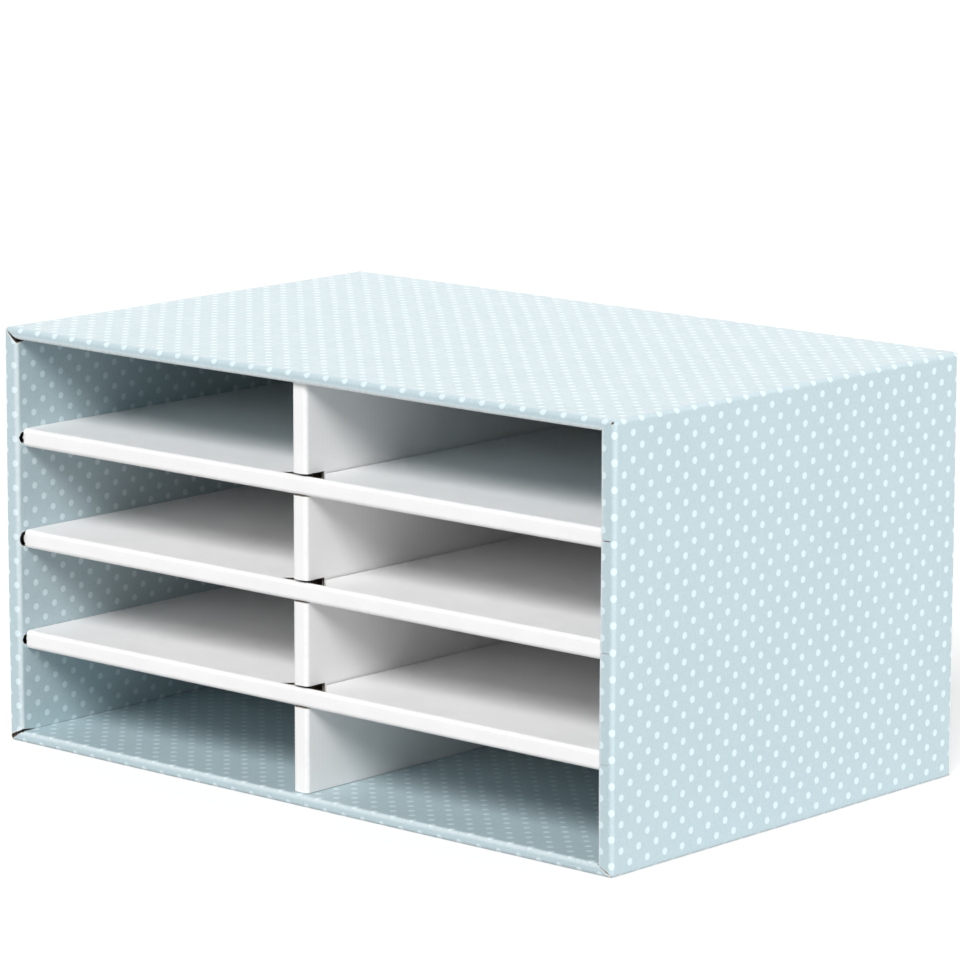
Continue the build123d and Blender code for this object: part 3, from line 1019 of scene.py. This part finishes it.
def shelf_panel(shelf, name, panel_frame, length, start, slot_at):
    """One panel of a shelf, with the divider's slot from a row on, or nowhere."""
    origin, along, inward = panel_frame
    slotted = slot_at is not None
    mouthed = name == "deck"
    rows = fold_lines(length, CUT_RUB, CUT_RUB, stops=[slot_at] if slotted and slot_at > 0 else [])
    middle = SHELF_LENGTH / 2

    def cuts_of(row):
        half = slot_half(row.place, slot_at, mouthed)
        return plain_cuts(0.0, middle - half, middle + half, SHELF_LENGTH)

    columns, cell_gaps = cut_columns(cuts_of, rows)
    panel = Panel(origin - RIGHTWARD * SHELF_LENGTH / 2, along, RIGHTWARD, inward, rows, columns)
    sheet = Sheet(panel, flute_places(start), False)
    first_row = row_at(rows, FOLD_RADIUS if mouthed else slot_at) if slotted else len(rows)
    sheet.add_skins(cells_open(cell_gaps, first_row, len(rows)))
    if length > 2 * FLUTE_BAND:
        span = (FOLD_RADIUS, length - FOLD_RADIUS)
        sheet.add_flutes(span, band_after(0.0), True)
        sheet.add_flutes(span, band_before(SHELF_LENGTH), True)
        slot_spans = [(slot_at, length - FOLD_RADIUS)]
        if mouthed:
            slot_spans.append((FOLD_RADIUS, slot_at))
        for slot_span in slot_spans:
            near = slot_half(slot_span[0] + TINY, slot_at, mouthed) + EDGE_GAP
            sheet.add_flutes(slot_span, (middle - near - FLUTE_BAND, middle - near), True)
            sheet.add_flutes(slot_span, (middle + near, middle + near + FLUTE_BAND), True)
    place_board(shelf + "_" + name, shelf, WHITE, sheet)


def nose_section(reach, half):
    """Round of a tab's nose beyond a shelf's end, seen from the front."""
    angles = [pi / 2 - pi * n / (TAB_CORNERS - 1) for n in range(TAB_CORNERS)]
    return [(SHELF_LENGTH / 2 + TINY + reach * cos(angle), half * sin(angle)) for angle in angles]


def tab_section(reach, root):
    """Corners of a shelf's end tab, seen from the front, as many as its nose has."""
    end = SHELF_LENGTH / 2
    core_half = SHELF_THICK / 2 - BOARD - CORE_FIT
    tip = min(root, TAB_TIP / 2)
    upper = [
        (end - TAB_BURIED, core_half),
        (end - TAB_SHOULDER, core_half),
        (end, root),
        (end + reach * TAB_BEND, (root + tip) / 2),
        (end + reach, tip),
    ]
    return upper + [(x, -z) for x, z in reversed(upper)]


def end_tabs(shelf, level, nose):
    """Tapered strips of doubled board at a shelf's ends, with a rounded nose that springs the slits."""
    tip = INSIDE_HALF_WIDTH + TAB_REACH - SHELF_LENGTH / 2
    root = TAB_ROOT / 2
    nose_front = SHELF_FRONT + NOSE_SETBACK
    nose_rear = SHELF_FRONT + BOARD + TINY
    blunt = nose_section(nose.reach * BLUNT_REACH, nose.half * BLUNT_HALF)
    full = nose_section(nose.reach, nose.half)
    neck = tab_section(max(nose.reach, tip * NECK_REACH), (nose.half + root) / 2)
    stations = (
        (nose_front, blunt),
        (nose_front + NOSE_LENGTH, full),
        (nose_rear, full),
        (nose_rear + NOSE_SETBACK, neck),
        (TAB_FRONT + TAB_LEAD_IN * KNEE_PLACE, tab_section(tip * KNEE_REACH, root)),
        (TAB_FRONT + TAB_LEAD_IN, tab_section(tip, root)),
        (TAB_REAR - TAB_LEAD_IN, tab_section(tip, root)),
        (TAB_REAR, tab_section(tip * HEEL_REACH, root)),
    )
    board = Board()
    for side in (-1, 1):
        rings = []
        for y, section in stations:
            places = [(Vector((side * x, y, level + z)), (x, y)) for x, z in section]
            rings.append([board.vertex(place, print_place, 0.0) for place, print_place in places])
        board.loft(rings, FACE, CUT)
    place_board(shelf + "_end_tabs", shelf, WHITE, board)


def shelf_pieces(shelf, level, nose):
    """The four panels and the end tabs of a shelf."""
    upper_front = Vector((0, SHELF_FRONT, level + SHELF_THICK / 2))
    lower_front = Vector((0, SHELF_FRONT, level - SHELF_THICK / 2))
    upper_rear = Vector((0, INSERT_REAR, level + SHELF_THICK / 2))
    slot_at = SLOT_FRONT - SHELF_FRONT
    deck_sheet = sheet_length(SHELF_DEPTH)
    edge_sheet = sheet_length(SHELF_THICK)
    shelf_panel(shelf, "deck", (upper_front, BACKWARD, -UPWARD), SHELF_DEPTH, 0.0, slot_at)
    shelf_panel(shelf, "underside", (lower_front, BACKWARD, UPWARD), SHELF_DEPTH, -edge_sheet, slot_at)
    shelf_panel(shelf, "front_edge", (upper_front, -UPWARD, BACKWARD), SHELF_THICK, -edge_sheet, None)
    shelf_panel(shelf, "rear_edge", (upper_rear, -UPWARD, -BACKWARD), SHELF_THICK, deck_sheet, 0.0)
    end_tabs(shelf, level, nose)


def notch_places():
    """Ends of the divider and both edges of each notch, up from its foot."""
    places = [0.0]
    for level in SHELF_LEVELS:
        places.append(level - SHELF_THICK / 2 - NOTCH_FIT - DIVIDER_FOOT)
        places.append(level + SHELF_THICK / 2 + NOTCH_LIFT - DIVIDER_FOOT)
    places.append(DIVIDER_HEIGHT)
    return places


def divider_ply(name, side):
    """One side of the divider, notched at the front where the shelves pass."""
    notch = NOTCH_END - DIVIDER_FRONT
    rows = fold_lines(DIVIDER_DEPTH, CUT_RUB, CUT_RUB, stops=[notch])
    places = notch_places()
    columns, cell_gaps = cut_columns(lambda row: plain_cuts(*places), rows)
    origin = Vector((side * DIVIDER_THICK / 2, DIVIDER_FRONT, DIVIDER_FOOT))
    panel = Panel(origin, BACKWARD, UPWARD, -side * RIGHTWARD, rows, columns)
    sheet = Sheet(panel, flute_places(0.0), False)
    sheet.add_skins(cells_open(cell_gaps, 0, row_at(rows, notch)))
    span = (FOLD_RADIUS, DIVIDER_DEPTH - FOLD_RADIUS)
    sheet.add_flutes(span, band_after(0.0), True)
    sheet.add_flutes(span, band_before(DIVIDER_HEIGHT), True)
    for low, high in zip(places[1:-1:2], places[2:-1:2]):
        sheet.add_flutes((FOLD_RADIUS, notch), band_before(low), True)
        sheet.add_flutes((FOLD_RADIUS, notch), band_after(high), True)
    place_board("divider_" + name, "divider", WHITE, sheet)


def divider_edge(name, y, inward, notched):
    """The front or the rear of the divider, between its plies."""
    rows = fold_lines(DIVIDER_THICK, CUT_RUB, CUT_RUB)
    cuts = plain_cuts(*notch_places()) if notched else plain_cuts(0.0, DIVIDER_HEIGHT)
    columns, cell_gaps = cut_columns(lambda row: cuts, rows)
    origin = Vector((-DIVIDER_THICK / 2, y, DIVIDER_FOOT))
    panel = Panel(origin, RIGHTWARD, UPWARD, inward, rows, columns)
    sheet = Sheet(panel, flute_places(-sheet_length(DIVIDER_THICK)), False)
    sheet.add_skins(cells_open(cell_gaps, 0, len(rows)))
    place_board("divider_" + name, "divider", WHITE, sheet)


for shelf_name, shelf_level, tab_nose in zip(SHELF_NAMES, SHELF_LEVELS, TAB_NOSES):
    shelf_pieces(shelf_name, shelf_level, tab_nose)
divider_ply("left_ply", -1)
divider_ply("right_ply", 1)
divider_edge("front_edge", DIVIDER_FRONT, BACKWARD, True)
divider_edge("rear_edge", INSERT_REAR, -BACKWARD, False)


# Floor, light and camera: metres from here on, apart from the camera's distance

FLOOR_HALF = 14.0
FLOOR_COLOR = (0.5, 0.5, 0.5, 1)
FLOOR_ROUGHNESS = 0.9
FLOOR_GLOW = 0.56
WORLD_STRENGTH = 0.10
WHITE_LIGHT = (1.0, 1.0, 1.0, 1)

# Where each soft lamp stands, seen from the sorter, and how many degrees of the sky it fills. The length of
# the first is the light on a sheet that faces the lamp
LAMPS = {
    "key_lamp": (Vector((0.29, -0.60, 0.56)), 24.0),
    "side_lamp": (Vector((0.85, 0.15, 0.05)), 40.0),
    "front_lamp": (Vector((-0.02, -0.16, 0.02)), 40.0),
    "rear_lamp": (Vector((-0.22, 0.24, 0.065)), 110.0),
    "back_lamp": (Vector((-0.06, 0.50, 0.03)), 30.0),
    "left_lamp": (Vector((-0.44, 0.06, 0.03)), 30.0),
}

# The camera: angles in degrees, lengths in pixels of the picture, and its distance
CAMERA_AZIMUTH = 41.6331
CAMERA_ELEVATION = 10.7765
CAMERA_ROLL = 0.1136
CAMERA_FOCAL_PX = 5033.11
CAMERA_DISTANCE = 3064.97
CAMERA_CENTRE_PX = (475.298, 549.830)
CAMERA_SIGHT = 100.0
IMAGE_PX = 960
SENSOR_MM = 36.0


def make_floor():
    """A white floor that shows the sorter's shadow and lights nothing by its glow."""
    mesh = bpy.data.meshes.new("floor")
    corners = [(x * FLOOR_HALF, y * FLOOR_HALF, 0.0) for x, y in ((-1, -1), (1, -1), (1, 1), (-1, 1))]
    mesh.from_pydata(corners, [], [(0, 1, 2, 3)])
    material = bpy.data.materials.new("studio_floor")
    nodes = Nodes(material)
    sockets = {"Base Color": FLOOR_COLOR, "Roughness": FLOOR_ROUGHNESS, "Specular IOR Level": 0.0}
    sockets["Emission Color"] = WHITE_LIGHT
    sockets["Emission Strength"] = nodes.math("MULTIPLY", nodes.seen(), FLOOR_GLOW)
    shader = nodes.node("ShaderNodeBsdfPrincipled", sockets)
    nodes.node("ShaderNodeOutputMaterial", {0: shader.outputs[0]})
    mesh.materials.append(material)
    floor = bpy.data.objects.new("floor", mesh)
    bpy.context.scene.collection.objects.link(floor)


def make_world():
    """A surround that looks white and lights weakly."""
    world = bpy.data.worlds.new("studio")
    nodes = Nodes(world)
    strength = nodes.math("MULTIPLY_ADD", nodes.seen(), 1 - WORLD_STRENGTH, WORLD_STRENGTH)
    sky = nodes.node("ShaderNodeBackground", {"Color": WHITE_LIGHT, "Strength": strength})
    nodes.node("ShaderNodeOutputWorld", {0: sky.outputs[0]})
    bpy.context.scene.world = world


def make_lamp(name, light, softness):
    """A far soft lamp."""
    lamp = bpy.data.lights.new(name, "SUN")
    lamp.energy = light.length * pi
    lamp.angle = radians(softness)
    holder = bpy.data.objects.new(name, lamp)
    holder.rotation_euler = light.to_track_quat("Z", "Y").to_euler()
    bpy.context.scene.collection.objects.link(holder)


def make_camera():
    """The camera, which sees the middle of the sorter at a given pixel of the picture."""
    azimuth = radians(CAMERA_AZIMUTH)
    elevation = radians(CAMERA_ELEVATION)
    roll = radians(CAMERA_ROLL)
    back = Vector((sin(azimuth) * cos(elevation), -cos(azimuth) * cos(elevation), sin(elevation)))
    level_right = UPWARD.cross(back).normalized()
    level_up = back.cross(level_right)
    right = level_right * cos(roll) + level_up * sin(roll)
    up = level_up * cos(roll) - level_right * sin(roll)
    centre_x, centre_y = CAMERA_CENTRE_PX
    across = (centre_x - IMAGE_PX / 2) / CAMERA_FOCAL_PX
    above = (IMAGE_PX / 2 - centre_y) / CAMERA_FOCAL_PX
    middle = Vector((0, 0, HEIGHT / 2))
    place = (middle - (right * across + up * above - back) * CAMERA_DISTANCE) * MM
    lens = bpy.data.cameras.new("camera")
    lens.sensor_width = SENSOR_MM
    lens.lens = CAMERA_FOCAL_PX * SENSOR_MM / IMAGE_PX
    lens.clip_end = CAMERA_SIGHT
    camera = bpy.data.objects.new("camera", lens)
    axes = Matrix((right, up, back)).transposed()
    camera.matrix_world = Matrix.Translation(place) @ axes.to_4x4()
    bpy.context.scene.collection.objects.link(camera)
    bpy.context.scene.camera = camera


make_floor()
make_world()
for lamp_name, (lamp_light, lamp_softness) in LAMPS.items():
    make_lamp(lamp_name, lamp_light, lamp_softness)
make_camera()
bpy.context.scene.view_settings.view_transform = "Standard"

bpy.context.view_layer.update()
